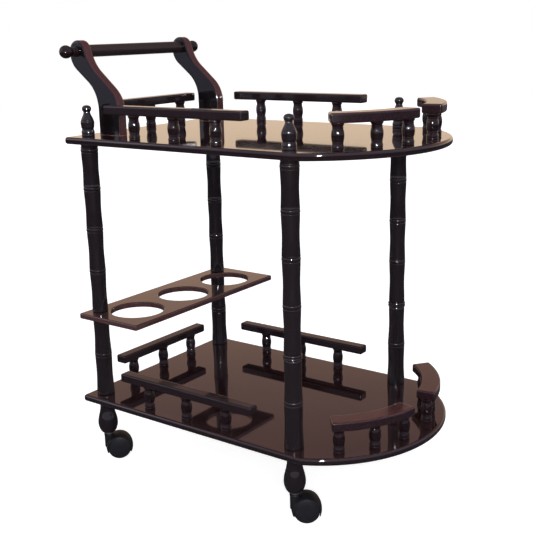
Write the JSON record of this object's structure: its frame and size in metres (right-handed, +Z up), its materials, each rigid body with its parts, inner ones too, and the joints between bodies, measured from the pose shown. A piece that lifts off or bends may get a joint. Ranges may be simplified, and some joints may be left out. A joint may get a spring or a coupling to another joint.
{
  "type": "bar cart",
  "caption": "Two-tier serving cart with one rounded end, turned legs, low spindle galleries, a bottle rack, a push handle on curved brackets and swivel casters.",
  "frame": {"origin": "on the floor, under the middle of the cart's length and width", "axes": "+X from the push handle towards the round end, +Y from the front side to the rear side, +Z up"},
  "size_m": [0.6464, 0.401, 0.7684],
  "materials": {
    "lacquered_board": "high gloss lacquer over dark cherry stain",
    "lacquered_turning": "high gloss lacquer over dark cherry stain, nearly black",
    "lacquered_rail": "high gloss lacquer over dark cherry stain",
    "caster_hood_black": "satin moulded nylon",
    "caster_wheel_black": "satin moulded nylon",
    "steel": "bright zinc plating",
    "socket_steel": "dull plated steel"
  },
  "bodies": {
    "cart": {"bottle_rack": "lacquered_board", "bottom_rail_end": "lacquered_rail", "bottom_rail_front": "lacquered_rail", "bottom_rail_front_curved": "lacquered_rail", "bottom_rail_rear": "lacquered_rail", "bottom_rail_rear_curved": "lacquered_rail", "bottom_shelf": "lacquered_board", "bottom_spindles_curved": "lacquered_turning", "bottom_spindles_straight": "lacquered_turning", "caster_sockets": "socket_steel", "caster_stems": "steel", "finial_front_left": "lacquered_turning", "finial_front_right": "lacquered_turning", "finial_rear_left": "lacquered_turning", "finial_rear_right": "lacquered_turning", "foot_front_left": "lacquered_turning", "foot_front_right": "lacquered_turning", "foot_rear_left": "lacquered_turning", "foot_rear_right": "lacquered_turning", "handle_bar": "lacquered_rail", "handle_bracket_front": "lacquered_rail", "handle_bracket_rear": "lacquered_rail", "handle_knobs": "lacquered_rail", "handle_screws": "steel", "leg_spacer_front_right": "lacquered_turning", "leg_spacer_rear_right": "lacquered_turning", "leg_studs": "steel", "lower_leg_front_left": "lacquered_turning", "lower_leg_front_right": "lacquered_turning", "lower_leg_rear_left": "lacquered_turning", "lower_leg_rear_right": "lacquered_turning", "top_rail_end": "lacquered_rail", "top_rail_front": "lacquered_rail", "top_rail_front_curved": "lacquered_rail", "top_rail_rear": "lacquered_rail", "top_rail_rear_curved": "lacquered_rail", "top_shelf": "lacquered_board", "top_spindles_curved": "lacquered_turning", "top_spindles_straight": "lacquered_turning", "upper_leg_front_left": "lacquered_turning", "upper_leg_front_right": "lacquered_turning", "upper_leg_rear_left": "lacquered_turning", "upper_leg_rear_right": "lacquered_turning"},
    "caster_front_left": {"caster_hood_front_left": "caster_hood_black", "caster_axle_front_left": "steel"},
    "wheel_front_left_a": {"caster_wheel_front_left_a": "caster_wheel_black"},
    "wheel_front_left_b": {"caster_wheel_front_left_b": "caster_wheel_black"},
    "caster_front_right": {"caster_hood_front_right": "caster_hood_black", "caster_axle_front_right": "steel"},
    "wheel_front_right_a": {"caster_wheel_front_right_a": "caster_wheel_black"},
    "wheel_front_right_b": {"caster_wheel_front_right_b": "caster_wheel_black"},
    "caster_rear_left": {"caster_hood_rear_left": "caster_hood_black", "caster_axle_rear_left": "steel"},
    "wheel_rear_left_a": {"caster_wheel_rear_left_a": "caster_wheel_black"},
    "wheel_rear_left_b": {"caster_wheel_rear_left_b": "caster_wheel_black"},
    "caster_rear_right": {"caster_hood_rear_right": "caster_hood_black", "caster_axle_rear_right": "steel"},
    "wheel_rear_right_a": {"caster_wheel_rear_right_a": "caster_wheel_black"},
    "wheel_rear_right_b": {"caster_wheel_rear_right_b": "caster_wheel_black"}
  },
  "joints": [
    {"name": "swivel_front_left", "type": "hinge", "parent": "cart", "child": "caster_front_left", "pos_m": [-0.26275, -0.169, 0.045], "axis": [0, 0, 1], "continuous": true},
    {"name": "spin_front_left_a", "type": "hinge", "parent": "caster_front_left", "child": "wheel_front_left_a", "pos_m": [-0.24967, -0.15592, 0.0215], "axis": [-0.7071, 0.7071, 0], "continuous": true},
    {"name": "spin_front_left_b", "type": "hinge", "parent": "caster_front_left", "child": "wheel_front_left_b", "pos_m": [-0.24967, -0.15592, 0.0215], "axis": [-0.7071, 0.7071, 0], "continuous": true},
    {"name": "swivel_front_right", "type": "hinge", "parent": "cart", "child": "caster_front_right", "pos_m": [0.16325, -0.169, 0.045], "axis": [0, 0, 1], "continuous": true},
    {"name": "spin_front_right_a", "type": "hinge", "parent": "caster_front_right", "child": "wheel_front_right_a", "pos_m": [0.17802, -0.15787, 0.0215], "axis": [-0.6018, 0.7986, 0], "continuous": true},
    {"name": "spin_front_right_b", "type": "hinge", "parent": "caster_front_right", "child": "wheel_front_right_b", "pos_m": [0.17802, -0.15787, 0.0215], "axis": [-0.6018, 0.7986, 0], "continuous": true},
    {"name": "swivel_rear_left", "type": "hinge", "parent": "cart", "child": "caster_rear_left", "pos_m": [-0.26275, 0.169, 0.045], "axis": [0, 0, 1], "continuous": true},
    {"name": "spin_rear_left_a", "type": "hinge", "parent": "caster_rear_left", "child": "wheel_rear_left_a", "pos_m": [-0.24598, 0.16118, 0.0215], "axis": [0.4226, 0.9063, 0], "continuous": true},
    {"name": "spin_rear_left_b", "type": "hinge", "parent": "caster_rear_left", "child": "wheel_rear_left_b", "pos_m": [-0.24598, 0.16118, 0.0215], "axis": [0.4226, 0.9063, 0], "continuous": true},
    {"name": "swivel_rear_right", "type": "hinge", "parent": "cart", "child": "caster_rear_right", "pos_m": [0.16325, 0.169, 0.045], "axis": [0, 0, 1], "continuous": true},
    {"name": "spin_rear_right_a", "type": "hinge", "parent": "caster_rear_right", "child": "wheel_rear_right_a", "pos_m": [0.17514, 0.15483, 0.0215], "axis": [0.766, 0.6428, 0], "continuous": true},
    {"name": "spin_rear_right_b", "type": "hinge", "parent": "caster_rear_right", "child": "wheel_rear_right_b", "pos_m": [0.17514, 0.15483, 0.0215], "axis": [0.766, 0.6428, 0], "continuous": true}
  ]
}
